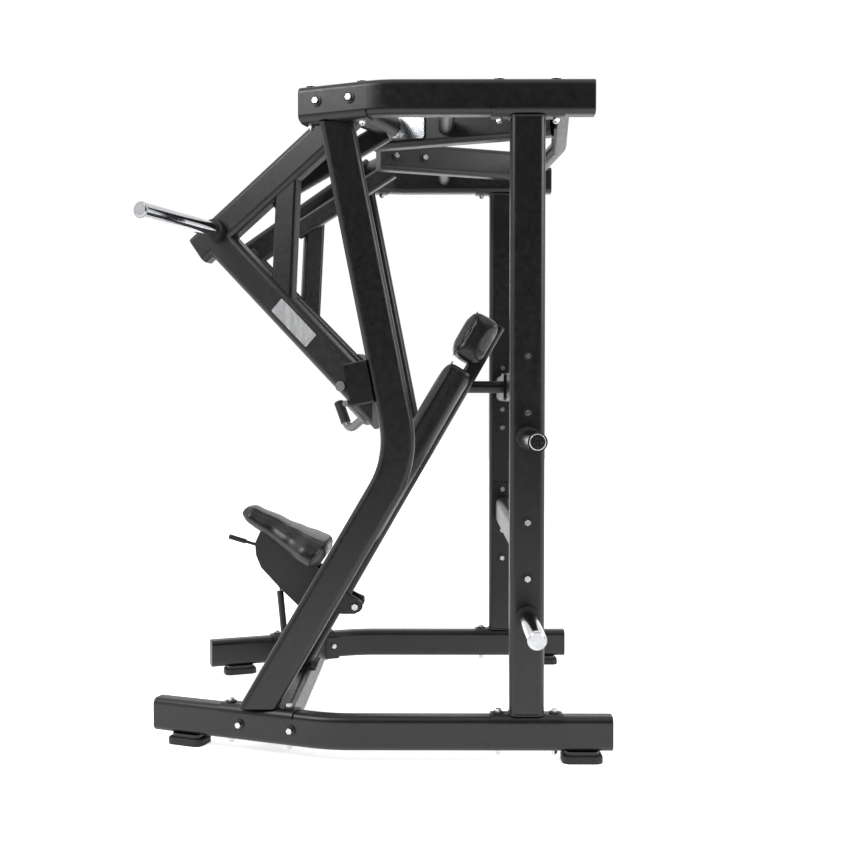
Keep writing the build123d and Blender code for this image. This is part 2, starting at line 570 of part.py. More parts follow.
# ---------------------------------------------------------------- plate storage
horn_tubes = []
horn_collars = []
for height in HORN_Z:
    root = Vector(RAIL_X + THICK / 2, UPRIGHT_Y, height)
    horn_tubes.append(rod(root + LEFT * COLLAR_L, root + LEFT * HORN_L, HORN_R, HORN_R - 4))
    horn_tubes.append(rod(root + LEFT * COLLAR_L, root + LEFT * 44, HORN_R - 4, BOLT_R))
    plug = rod(root + LEFT * (HORN_L - 14), root + LEFT * (HORN_L + 3), HORN_R - 4)
    horn_tubes.append(chamfer(plug.edges().group_by(Axis.X)[-1], 2))
    horn_collars.append(rod(root, root + LEFT * COLLAR_L, COLLAR_R, BOLT_R + 0.5))
keep_both("storage_horns", *horn_tubes)
keep_both("storage_horn_collars", *horn_collars)

# ---------------------------------------------------------------- pads
def lean_block(span, x_width, near, far, corner):
    """Return a block along the spine between two distances in front of its rear face."""
    centre = on_spine(sum(span) / 2, (near + far) / 2)
    return slab(centre, LEFT, LEAN_FRONT, (x_width, span[1] - span[0], far - near), corner)


slot_w = SPINE_W + 6
back_pad = lean_block(PAD_SPAN, PAD_W, PAD_SIDE, PAD_FRONT, 24)
back_pad = fillet(back_pad.edges().group_by(Axis(on_spine(0, 0), LEAN_FRONT))[-1], 18)
back_board = lean_block((PAD_SPAN[0] + 20, PAD_SPAN[1] - 20), PAD_W - 40, SPINE_D, SPINE_D + BOARD, 14)
back_pad -= lean_block((PAD_SPAN[0] - 20, PAD_SPAN[1] + 20), slot_w, 0, SPINE_D, 0)
back_pad -= back_board
head_pad = lean_block(HEAD_SPAN, PAD_W, PAD_SIDE, PAD_FRONT + HEAD_PROUD, 24)
head_pad = fillet(head_pad.edges().group_by(Axis(on_spine(0, 0), LEAN_FRONT))[-1], 18)
head_board = lean_block((HEAD_SPAN[0] + 16, HEAD_SPAN[1] - 16), PAD_W - 40, SPINE_D,
                        SPINE_D + BOARD + 8, 14)
head_pad -= lean_block((HEAD_SPAN[0] - 20, SPINE_TOP + CAP + 1), slot_w, 0, SPINE_D, 0)
head_pad -= head_board
keep("back_pad", back_pad)
keep("head_pad", head_pad)
keep("pad_boards", back_board, head_board)

# ---------------------------------------------------------------- seat
SEAT_DOWN = Vector(0, cos(radians(SEAT_TILT)), -sin(radians(SEAT_TILT)))
SEAT_NORMAL = Vector(0, sin(radians(SEAT_TILT)), cos(radians(SEAT_TILT)))
seat_front = Vector(0, *SEAT_FRONT)
SEAT_NOSE = 150.0
SEAT_REAR = 300.0
SEAT_THICK = 110.0
seat_plane = Plane(origin=seat_front, x_dir=LEFT, z_dir=SEAT_NORMAL)
side_sign = 1 if seat_plane.y_dir.dot(SEAT_DOWN) > 0 else -1
nose_half = SEAT_NOSE / 2
rear_half = SEAT_REAR / 2
with BuildSketch(seat_plane) as seat_sketch:
    with BuildLine():
        edge_right = Spline((nose_half, side_sign * 50), (nose_half + 16, side_sign * 130),
                            (rear_half, side_sign * (SEAT_L - 70)))
        tail_right = Spline((rear_half, side_sign * (SEAT_L - 70)), (rear_half - 25, side_sign * (SEAT_L - 14)),
                            (0, side_sign * SEAT_L))
        tail_left = Spline((0, side_sign * SEAT_L), (25 - rear_half, side_sign * (SEAT_L - 14)),
                           (-rear_half, side_sign * (SEAT_L - 70)))
        edge_left = Spline((-rear_half, side_sign * (SEAT_L - 70)), (-nose_half - 16, side_sign * 130),
                           (-nose_half, side_sign * 50))
        nose = Spline((-nose_half, side_sign * 50), (0, 0), (nose_half, side_sign * 50))
    make_face()
seat_pad = extrude(seat_sketch.sketch, amount=SEAT_THICK)
top_normal = Vector(0, sin(radians(SEAT_TOP_TILT)), cos(radians(SEAT_TOP_TILT)))
seat_pad -= slab(seat_front + SEAT_NORMAL * SEAT_NOSE_H + top_normal * 100, LEFT, top_normal,
                 (600, 1200, 200))
keep("seat_pad", seat_pad)
seat_board = slab(seat_front + SEAT_DOWN * 190 - SEAT_NORMAL * 4, LEFT, SEAT_NORMAL,
                  (2 * SEAT_PLATE_X - SEAT_PLATE_T, 190, 8))

plate_points = [(-410, 590), (-431, 543), (-428, 503), (-412, 463), (-346, 391), (-290, 337),
                (-250, 319), (-147, 310), (-105, 310), (-80, 328), (-80, 349), (-115, 364),
                (-170, 405), (-215, 452), (-240, 478)]
plate_outline = Polyline(*plate_points, close=True)
seat_plates = []
for side in (1, -1):
    sketch = Plane(origin=(side * SEAT_PLATE_X, 0, 0), x_dir=REAR, z_dir=LEFT) * make_face(plate_outline)
    plate = extrude(sketch, amount=SEAT_PLATE_T / 2, both=True)
    plate = fillet(plate.edges().filter_by(Axis.X), 9)
    plate -= slab(seat_front + SEAT_DOWN * 160 + SEAT_NORMAL * 100, LEFT, SEAT_NORMAL, (400, 900, 200))
    plate -= rod((side * 40, *SEAT_HINGE), (side * 70, *SEAT_HINGE), 8 + RUNNING)
    seat_plates.append(plate)
spring_pin = rod((-SEAT_PLATE_X + 3, *SPRING_HEAD), (SEAT_PLATE_X - 3, *SPRING_HEAD), 5)
lever_pin = rod((-SEAT_PLATE_X + 3, *LEVER_PIVOT), (SEAT_PLATE_X - 3, *LEVER_PIVOT), 5)
keep("seat_carrier", seat_board, *seat_plates, spring_pin, lever_pin)

hinge_pin = rod((-68, *SEAT_HINGE), (68, *SEAT_HINGE), 8)
hinge_ears = []
spine_filled = envelope(on_spine(-1100, SPINE_D / 2), on_spine(SPINE_TOP, SPINE_D / 2), LEFT,
                        SPINE_W, SPINE_D, 12)
for side in (1, -1):
    ear = rod((side * 38, *SEAT_HINGE), (side * 46, *SEAT_HINGE), 24)
    ear += slab(Vector(side * 42, *SEAT_HINGE) + LEAN_FRONT * 28, LEFT, LEAN_UP, (8, 56, 48))
    ear = ear - spine_filled - rod((side * 30, *SEAT_HINGE), (side * 50, *SEAT_HINGE), 8)
    hinge_ears.append(ear)
heads = [hexagon((68, *SEAT_HINGE), LEFT, 11, 7), hexagon((-68, *SEAT_HINGE), LEFT * -1, 11, 7)]
keep("seat_hinge_bolt", hinge_pin + heads[0] + heads[1])
spring_ears = []
for side in (1, -1):
    top = Vector(side * 18, *SPRING_FOOT)
    ear = rod(top - LEFT * 3, top + LEFT * 3, 14)
    ear += slab((side * 18, SPRING_FOOT[0], (SPRING_FOOT[1] + SPINE_BASE_Z) / 2), LEFT, UP,
                (6, 28, SPRING_FOOT[1] - SPINE_BASE_Z))
    spring_ears.append(ear - rod((-40, *SPRING_FOOT), (40, *SPRING_FOOT), 5))
spring_foot_pin = rod((-26, *SPRING_FOOT), (26, *SPRING_FOOT), 5)
keep("seat_brackets", *hinge_ears, *spring_ears, spring_foot_pin)

spring_foot = Vector(0, *SPRING_FOOT)
spring_head = Vector(0, *SPRING_HEAD)
spring_run = (spring_head - spring_foot).normalized()
spring_length = (spring_head - spring_foot).length
cylinder = rod(spring_foot + spring_run * 12, spring_foot + spring_run * 198, 11, 8.5)
cylinder += rod(spring_foot + spring_run * 12, spring_foot + spring_run * 20, 11)
cylinder += rod(spring_foot - LEFT * 8, spring_foot + LEFT * 8, 13)
cylinder -= rod(spring_foot - LEFT * 10, spring_foot + LEFT * 10, 5 + RUNNING)
keep("gas_spring_cylinder", cylinder)
spring_rod = rod(spring_foot + spring_run * 70, spring_head - spring_run * 15, 5)
spring_rod += rod(spring_foot + spring_run * 66, spring_foot + spring_run * 78, 8.45)
spring_rod += rod(spring_head - LEFT * 7, spring_head + LEFT * 7, 18, 12)
keep("gas_spring_rod", spring_rod)

lever_tip = Vector(0, *LEVER_TIP)
lever_root = Vector(0, *LEVER_PIVOT)
lever_run = (lever_tip - lever_root).normalized()
lever = rod(lever_root + lever_run * 8, lever_tip - lever_run * 2, 5)
lever += rod(lever_root - LEFT * 10, lever_root + LEFT * 10, 12)
lever -= rod(lever_root - LEFT * 20, lever_root + LEFT * 20, 5 + RUNNING)
lever_grip = rod(lever_tip - lever_run * 58, lever_tip, 8, 5)
keep("seat_lever", lever)
keep("seat_lever_grip", lever_grip)

# ---------------------------------------------------------------- end caps and fasteners
caps = [
    end_cap((RAIL_X, RAIL_END[1], RAIL_Z), REAR, UP),
    end_cap(rail_front, TOE_FORE, UP),
    end_cap((RAIL_X, BEAM_REAR, BEAM_Z), REAR, UP),
    end_cap(beam_front, TOE_FORE, UP),
    end_cap(pivot_start, PIVOT_FORE, UP),
]
spine_cap = end_cap(on_spine(SPINE_TOP, SPINE_D / 2), LEAN_UP, LEFT, SPINE_W, SPINE_D, 12)
keep("tube_end_caps", spine_cap, *caps, *[twin(c) for c in caps])

bolts = []
washers = []
nuts = []


def fasten(at, direction, grip, nut=True):
    """Add a bolt whose head sits on a washer at a point, pointing along a direction."""
    away = direction * -1
    washers.append(rod(at, at + away * WASHER_H, WASHER_R, BOLT_R))
    head = hexagon(at + away * WASHER_H, away, HEAD_R, HEAD_H)
    shank_end = at + direction * (grip + (14 if nut else 0))
    bolts.append(head + rod(at + away * WASHER_H, shank_end, BOLT_R))
    if nut:
        far = at + direction * grip
        body = hexagon(far, direction, HEAD_R + 0.6, 10) - rod(far, far + direction * 12, BOLT_R)
        nuts.append(body)


DOWN = UP * -1
stack = TALL + SADDLE
for spot in rail_bolts + head_bolts:
    fasten(spot + UP * (BEAM_Z0 + TALL), DOWN, stack)
for spot in rail_bolts + front_bolts:
    fasten(spot + UP * (FOOT_H + TALL + SADDLE), DOWN, stack)
for spot in cross_bolts:
    fasten(spot + TOE_OUT * THICK / 2, TOE_OUT * -1, THICK + FLANGE)
for spot in housing_bolts:
    fasten(spot + TOE_OUT * THICK / 2, TOE_OUT * -1, THICK + FLANGE)
for spot in inner_bolts:
    fasten(spot - PIVOT_SIDE * THICK / 2, PIVOT_SIDE, THICK + FLANGE, False)
for height in CROSS_Z:
    for step in (-78.0, 78.0):
        fasten(Vector(RAIL_X + THICK / 2, UPRIGHT_Y, height + step), LEFT * -1, THICK + FLANGE)
for height in HORN_Z:
    fasten(Vector(RAIL_X - THICK / 2, UPRIGHT_Y, height), LEFT, THICK + 30, False)
keep_both("frame_bolts", *bolts)
keep_both("frame_washers", *washers)
keep_both("frame_nuts", *nuts)

# ---------------------------------------------------------------- write the parts
def centring_shift():
    """Return the move along Y that puts the middle of the machine's box on the origin."""
    boxes = [shape.bounding_box() for shape in FRAME.values()]
    return -(min(b.min.Y for b in boxes) + max(b.max.Y for b in boxes)) / 2


SHIFT_Y = round(centring_shift(), 1)
os.makedirs("parts", exist_ok=True)
for name, shape in FRAME.items():
    export_step(Pos(0, SHIFT_Y, 0) * shape, f"parts/{name}.step")
print("shift", SHIFT_Y)
print(len(FRAME), "nodes")
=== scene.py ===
"""Looks of a plate-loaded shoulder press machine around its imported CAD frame.

Units are metres, +Z is up, -Y is the front that the user faces and +X is the user's left.
"""

import json
import logging
from dataclasses import dataclass, field
from enum import Enum
from math import cos, pi, radians, sin, tan
from typing import Sequence

import bmesh
import bpy
from mathutils import Matrix, Vector


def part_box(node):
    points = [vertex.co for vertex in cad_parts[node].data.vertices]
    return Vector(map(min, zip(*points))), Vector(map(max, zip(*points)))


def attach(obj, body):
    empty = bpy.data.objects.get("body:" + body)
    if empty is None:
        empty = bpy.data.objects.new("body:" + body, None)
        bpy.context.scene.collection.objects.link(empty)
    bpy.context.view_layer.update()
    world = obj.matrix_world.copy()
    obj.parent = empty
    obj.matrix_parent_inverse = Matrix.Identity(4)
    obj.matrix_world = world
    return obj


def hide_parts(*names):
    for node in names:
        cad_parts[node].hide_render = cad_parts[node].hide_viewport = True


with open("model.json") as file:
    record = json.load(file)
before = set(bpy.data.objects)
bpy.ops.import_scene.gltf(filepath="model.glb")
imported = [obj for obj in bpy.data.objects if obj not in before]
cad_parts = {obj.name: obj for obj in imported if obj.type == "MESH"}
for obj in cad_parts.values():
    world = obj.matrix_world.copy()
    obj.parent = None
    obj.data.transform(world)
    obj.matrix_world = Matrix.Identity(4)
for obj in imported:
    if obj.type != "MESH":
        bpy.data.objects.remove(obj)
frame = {"nodes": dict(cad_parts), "record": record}
LOG = logging.getLogger("shoulder_press")
MM = 0.001
TINY = 1e-9
TUBE_SIDES = 8
PUFF_FRAMES = 20
PUFF_QUALITY = 4


class Finish(Enum):
    """The finishes of the machine, named as the record's material slots."""

    FRAME = "frame_coat"
    HANDLE = "handle_coat"
    LEATHERETTE = "leatherette"
    PLYWOOD = "plywood"
    RUBBER = "rubber"
    CAP = "cap_plastic"
    CHROME = "chrome"
    ZINC = "zinc"
    TURNED = "machined_steel"
    PLATE = "brushed_plate"


def linear(hex_colour: str) -> tuple[float, float, float, float]:
    """Turn an sRGB hex colour into linear values.

    Args:
        hex_colour: A colour such as "#1A1A1C".

    Returns:
        Red, green, blue and an alpha of one.
    """
    channels = [int(hex_colour[i:i + 2], 16) / 255 for i in (1, 3, 5)]
    out = [c / 12.92 if c <= 0.04045 else ((c + 0.055) / 1.055) ** 2.4 for c in channels]
    return (out[0], out[1], out[2], 1.0)


def per_mm(size: float) -> float:
    """Find the texture scale that gives one feature a size.

    Args:
        size: The feature's size in millimetres.

    Returns:
        The scale, for a texture in metres.
    """
    return 1.0 / (size * MM)


def add_node(material: bpy.types.Material, kind: str, settings: dict | None = None,
             links: dict | None = None) -> bpy.types.Node:
    """Add one shader node with its settings and incoming links.

    Args:
        material: The material that gets the node.
        kind: Blender's node type name.
        settings: Attribute names, or socket names, and their values.
        links: Input socket names and the output sockets that feed them.

    Returns:
        The new node.
    """
    node = material.node_tree.nodes.new(kind)
    for key, value in (settings or {}).items():
        if key in node.inputs:
            node.inputs[key].default_value = value
        else:
            setattr(node, key, value)
    for key, source in (links or {}).items():
        material.node_tree.links.new(source, node.inputs[key])
    return node


@dataclass(frozen=True)
class Surface:
    """A finish made of a two-tone colour, a broken gloss and a fine relief.

    The colour drifts over centimetres, the gloss over a smaller patch, and the relief is the
    grain that the eye picks up in a highlight.
    """

    name: str
    dark: str
    light: str
    metallic: float
    rough: tuple[float, float]
    grain_mm: float
    relief_mm: float
    drift_mm: float = 60.0
    coat: float = 0.0
    coat_rough: float = 0.2
    sheen: float = 0.0
    stretch: tuple[float, float, float] = (1.0, 1.0, 1.0)
    cells: bool = False

    def build(self) -> bpy.types.Material:
        """Build the material's nodes and return it."""
        material = bpy.data.materials.new(self.name)
        material.use_nodes = True
        material.node_tree.nodes.clear()
        coords = add_node(material, "ShaderNodeTexCoord").outputs["Object"]
        mapping = add_node(material, "ShaderNodeMapping", {"Scale": self.stretch}, {"Vector": coords})
        point = mapping.outputs["Vector"]
        drift = add_node(material, "ShaderNodeTexNoise",
                         {"Scale": per_mm(self.drift_mm), "Detail": 4.0, "Roughness": 0.6},
                         {"Vector": point})
        colour = add_node(material, "ShaderNodeValToRGB", links={"Fac": drift.outputs["Fac"]})
        colour.color_ramp.elements[0].position = 0.35
        colour.color_ramp.elements[1].position = 0.7
        colour.color_ramp.elements[0].color = linear(self.dark)
        colour.color_ramp.elements[1].color = linear(self.light)
        patch = add_node(material, "ShaderNodeTexNoise",
                         {"Scale": per_mm(self.drift_mm / 5), "Detail": 3.0}, {"Vector": point})
        gloss = add_node(material, "ShaderNodeMapRange",
                         {"From Min": 0.3, "From Max": 0.7, "To Min": self.rough[0],
                          "To Max": self.rough[1]}, {"Value": patch.outputs["Fac"]})
        if self.cells:
            grain = add_node(material, "ShaderNodeTexVoronoi",
                             {"Scale": per_mm(self.grain_mm), "feature": "SMOOTH_F1"},
                             {"Vector": point})
            height = grain.outputs["Distance"]
        else:
            grain = add_node(material, "ShaderNodeTexNoise",
                             {"Scale": per_mm(self.grain_mm), "Detail": 2.0}, {"Vector": point})
            height = grain.outputs["Fac"]
        bump = add_node(material, "ShaderNodeBump",
                        {"Strength": 0.5, "Distance": self.relief_mm * MM}, {"Height": height})
        shader = add_node(material, "ShaderNodeBsdfPrincipled",
                          {"Metallic": self.metallic, "Coat Weight": self.coat,
                           "Coat Roughness": self.coat_rough, "Sheen Weight": self.sheen},
                          {"Base Color": colour.outputs["Color"], "Roughness": gloss.outputs["Result"],
                           "Normal": bump.outputs["Normal"]})
        add_node(material, "ShaderNodeOutputMaterial", links={"Surface": shader.outputs["BSDF"]})
        return material


# What each finish really is, and what that gives the eye.
SURFACES: dict[Finish, Surface] = {
    # Polyester powder coat on steel tube, stoved: satin with a faint orange peel.
    Finish.FRAME: Surface("satin black powder coat", "#0F0F10", "#141415", 0.0, (0.30, 0.40),
                          1.6, 0.05, 90.0),
    # The same coat in grey on the handle tubes.
    Finish.HANDLE: Surface("grey powder coat", "#6A6A6C", "#767678", 0.2, (0.30, 0.38), 1.6, 0.04),
    # Embossed PVC leatherette over foam: small pebbles and a soft gloss.
    Finish.LEATHERETTE: Surface("black leatherette", "#131314", "#1B1B1D", 0.0, (0.30, 0.42),
                                1.8, 0.16, 45.0, coat=0.12, coat_rough=0.35, cells=True),
    # Birch plywood, sanded: pale with long grain.
    Finish.PLYWOOD: Surface("sanded birch plywood", "#A98B62", "#C4A67C", 0.0, (0.6, 0.75),
                            1.2, 0.08, 30.0, stretch=(1.0, 0.12, 0.12)),
    # Moulded rubber: dull, with a dusty drift.
    Finish.RUBBER: Surface("moulded black rubber", "#121213", "#1B1B1C", 0.0, (0.55, 0.72),
                           0.9, 0.06, 25.0),
    # Moulded ABS caps and washers: fine spark texture.
    Finish.CAP: Surface("moulded black ABS", "#0F0F10", "#151516", 0.0, (0.38, 0.5), 0.8, 0.03,
                        25.0),
    # Hard chrome on ground steel: nearly a mirror, with a faint polishing grain.
    Finish.CHROME: Surface("polished chrome", "#B4B5B8", "#CBCCCF", 1.0, (0.07, 0.16), 0.7, 0.008,
                           30.0),
    # Bright zinc on bolts and nuts.
    Finish.ZINC: Surface("bright zinc plate", "#B9BBBF", "#D8DADD", 1.0, (0.2, 0.34), 0.6, 0.02,
                         12.0),
    # Turned steel housings.
    Finish.TURNED: Surface("turned steel", "#A9ABAE", "#CDCFD1", 1.0, (0.18, 0.32), 0.8, 0.02,
                           25.0),
    # Brushed aluminium plate: fine drawn lines.
    Finish.PLATE: Surface("brushed aluminium", "#B4B5B7", "#CFD0D1", 1.0, (0.28, 0.42), 0.6, 0.03,
                          20.0, stretch=(3.0, 0.2, 0.2)),
}


@dataclass
class Paint:
    """Builds every finish once and hands it out."""

    made: dict[Finish, bpy.types.Material] = field(default_factory=dict)

    def of(self, finish: Finish) -> bpy.types.Material:
        """Hand out one finish, building it the first time.

        Args:
            finish: The finish that is wanted.

        Returns:
            Its material.
        """
        if finish not in self.made:
            self.made[finish] = SURFACES[finish].build()
        return self.made[finish]

    def dress_frame(self) -> None:
        """Give every CAD node the finish that its record slot names."""
        for part in frame["record"]["subparts"]:
            piece = frame["nodes"][part["node"]]
            piece.data.materials.clear()
            piece.data.materials.append(self.of(Finish(part["material_slot"])))

    def apply(self, piece: bpy.types.Object, finish: Finish, body: str) -> None:
        """Give a new piece its finish and its body.

        Args:
            piece: The new piece.
            finish: Its finish.
            body: The CAD body that carries it.
        """
        piece.data.materials.clear()
        piece.data.materials.append(self.of(finish))
        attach(piece, body)


def new_piece(name: str, shape: bmesh.types.BMesh, place: Matrix) -> bpy.types.Object:
    """Turn a bmesh into a smooth-shaded scene object whose vertices are in the frame.

    Args:
        name: The piece's name.
        shape: The shape in its own axes, freed here.
        place: Where the shape goes.

    Returns:
        The new object, at the origin.
    """
    shape.transform(place)
    bmesh.ops.recalc_face_normals(shape, faces=shape.faces)
    mesh = bpy.data.meshes.new(name)
    shape.to_mesh(mesh)
    shape.free()
    mesh.polygons.foreach_set("use_smooth", [True] * len(mesh.polygons))
    piece = bpy.data.objects.new(name, mesh)
    bpy.context.scene.collection.objects.link(piece)
    return piece


def rounded_block(size: Vector, radius: float, cuts: int = 28) -> bmesh.types.BMesh:
    """Make a block whose edges and corners are all rounded.

    Args:
        size: Full width, length and thickness.
        radius: The edge radius.
        cuts: Subdivisions along each edge.

    Returns:
        The block, centred on its own origin.
    """
    shape = bmesh.new()
    bmesh.ops.create_cube(shape, size=2.0)
    bmesh.ops.subdivide_edges(shape, edges=shape.edges, cuts=cuts, use_grid_fill=True)
    half = size * 0.5
    for vertex in shape.verts:
        spread = Vector((sin(vertex.co[i] * pi / 2) * half[i] for i in range(3)))
        core = Vector((max(-half[i] + radius, min(half[i] - radius, spread[i])) for i in range(3)))
        away = spread - core
        if away.length > TINY:
            vertex.co = core + away.normalized() * radius
        else:
            vertex.co = spread
    return shape


def tube_along(name: str, points: Sequence[Vector], radius: float, closed: bool) -> bpy.types.Object:
    """Make a thin round tube along points, as a mesh.

    Args:
        name: The piece's name.
        points: Points along the tube.
        radius: The tube's radius.
        closed: Whether the tube joins up with itself.

    Returns:
        The tube as a mesh object.
    """
    shape = bmesh.new()
    rings = []
    last = None
    count = len(points)
    for i, point in enumerate(points):
        ahead = points[(i + 1) % count] if closed or i < count - 1 else point
        behind = points[i - 1] if closed or i > 0 else point
        run = (ahead - behind).normalized()
        side = run.orthogonal() if last is None else last - run * last.dot(run)
        side.normalize()
        last = side
        up = run.cross(side)
        turns = [2 * pi * k / TUBE_SIDES for k in range(TUBE_SIDES)]
        rings.append([shape.verts.new(point + (side * cos(turn) + up * sin(turn)) * radius)
                      for turn in turns])
    for i in range(count if closed else count - 1):
        here, there = rings[i], rings[(i + 1) % count]
        if closed and i == count - 1:
            start = min(range(TUBE_SIDES), key=lambda k: (there[k].co - here[0].co).length)
            there = there[start:] + there[:start]
        for k in range(TUBE_SIDES):
            after = (k + 1) % TUBE_SIDES
            shape.faces.new((here[k], here[after], there[after], there[k]))
    if not closed:
        shape.faces.new(list(reversed(rings[0])))
        shape.faces.new(rings[-1])
    return new_piece(name, shape, Matrix.Identity(4))


def rounded_loop(width: float, length: float, radius: float, per_corner: int = 10) -> list[Vector]:
    """Return points round a rounded rectangle in the XY plane.

    Args:
        width: Size along X.
        length: Size along Y.
        radius: Corner radius.
        per_corner: Steps in each corner.

    Returns:
        The points, in order.
    """
    points = []
    for quarter, (sx, sy) in enumerate(((1, 1), (-1, 1), (-1, -1), (1, -1))):
        middle = Vector((sx * (width / 2 - radius), sy * (length / 2 - radius), 0))
        for step in range(per_corner + 1):
            angle = pi / 2 * (quarter + step / per_corner)
            points.append(middle + Vector((cos(angle), sin(angle), 0)) * radius)
    return points


def puff(piece: bpy.types.Object, pressure: float, cap: float) -> None:
    """Swell a pad with a short cloth run, then set the result into its mesh.

    Args:
        piece: The pad, made a little small.
        pressure: The cloth's inner pressure.
        cap: The most that a point may move.
    """
    scene = bpy.context.scene
    start = [v.co.copy() for v in piece.data.vertices]
    cloth = piece.modifiers.new("puff", "CLOTH")
    cloth.settings.use_pressure = True
    cloth.settings.uniform_pressure_force = pressure
    cloth.settings.effector_weights.gravity = 0.0
    cloth.settings.quality = PUFF_QUALITY
    cloth.collision_settings.use_collision = False
    cloth.point_cache.frame_start = 1
    cloth.point_cache.frame_end = PUFF_FRAMES
    for step in range(1, PUFF_FRAMES + 1):
        scene.frame_set(step)
    evaluated = piece.evaluated_get(bpy.context.evaluated_depsgraph_get())
    moved = [v.co.copy() for v in evaluated.data.vertices]
    piece.modifiers.remove(cloth)
    scene.frame_set(1)
    for vertex, old, new in zip(piece.data.vertices, start, moved):
        shift = new - old
        vertex.co = old + shift * min(1.0, cap / max(shift.length, TINY))
    piece.data.update()


def soften(piece: bpy.types.Object) -> None:
    """Round a cover's facets with one level of subdivision.

    Args:
        piece: The cover.
    """
    smooth = piece.modifiers.new("smooth", "SUBSURF")
    smooth.levels = 1
    smooth.render_levels = 1


@dataclass
class LeanPad:
    """One pad of the back rest: leatherette over foam, on a board against the spine."""

    node: str
    width: float
    length: float
    thick: float
    lean: float = radians(60.0)
    edge: float = 0.02
    swell: float = 0.005
    crown: float = 0.006
    dip: float = 0.002
    waist: float = 0.012
    seam_inset: float = 0.55        # this and the next two are shares of the edge radius
    seam_corner: float = 1.4
    seam_drop: float = 0.62
    seam_radius: float = 0.0022

    def place(self) -> Matrix:
        """Return where the pad's own axes lie: X across, Y up the spine, Z to the front."""
        low, high = (Vector(corner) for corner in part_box(self.node))
        across = Vector((1, 0, 0))
        along = Vector((0, cos(self.lean), sin(self.lean)))
        front = Vector((0, -sin(self.lean), cos(self.lean)))
        turn = Matrix((across, along, front)).transposed().to_4x4()
        return Matrix.Translation((low + high) / 2) @ turn

    def build(self) -> list[bpy.types.Object]:
        """Build the cover and its seam, and return both."""
        size = Vector((self.width - 2 * self.swell, self.length - 2 * self.swell,
                       self.thick - self.swell))
        shape = rounded_block(size, self.edge)
        for vertex in shape.verts:
            across = 2 * vertex.co.x / size.x
            along = 2 * vertex.co.y / size.y
            if vertex.co.z > 0:
                arch = max(0.0, 1 - across ** 4) * max(0.0, 1 - along ** 6)
                vertex.co.z += self.crown * arch - self.dip
            outward = min(1.0, abs(across) + abs(along))
            vertex.co.x *= 1 - self.waist * (1 - abs(2 * vertex.co.z / size.z)) * outward
        place = self.place()
        cover = new_piece(self.node + "_cover", shape, place)
        puff(cover, 4.0, self.swell)
        soften(cover)
        inset = self.edge * self.seam_inset
        loop = rounded_loop(self.width - inset, self.length - inset, self.edge * self.seam_corner)
        lift = Vector((0, 0, self.thick / 2 - self.edge * self.seam_drop))
        route = [place @ (point + lift) for point in loop]
        seam = tube_along(self.node + "_seam", route, self.seam_radius, True)
        return [cover, seam]

    def dress(self, paint: Paint) -> None:
        """Build the pad and give it its finish and body.

        Args:
            paint: The finishes.
        """
        cover, seam = self.build()
        paint.apply(cover, Finish.LEATHERETTE, "frame")
        paint.apply(seam, Finish.LEATHERETTE, "frame")
        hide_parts(self.node)
        LOG.info("%s: %d faces", cover.name, len(cover.data.polygons))


def blend_table(value: float, table: Sequence[tuple[float, float]]) -> float:
    """Return a smooth value read between the rows of a table.

    Args:
        value: Where to read.
        table: Rows of place and value, in order.

    Returns:
        The value there.
    """
    if value <= table[0][0]:
        return table[0][1]
    for (a, low), (b, high) in zip(table, table[1:]):
        if value <= b:
            share = (value - a) / (b - a)
            return low + (high - low) * share * share * (3 - 2 * share)
    return table[-1][1]


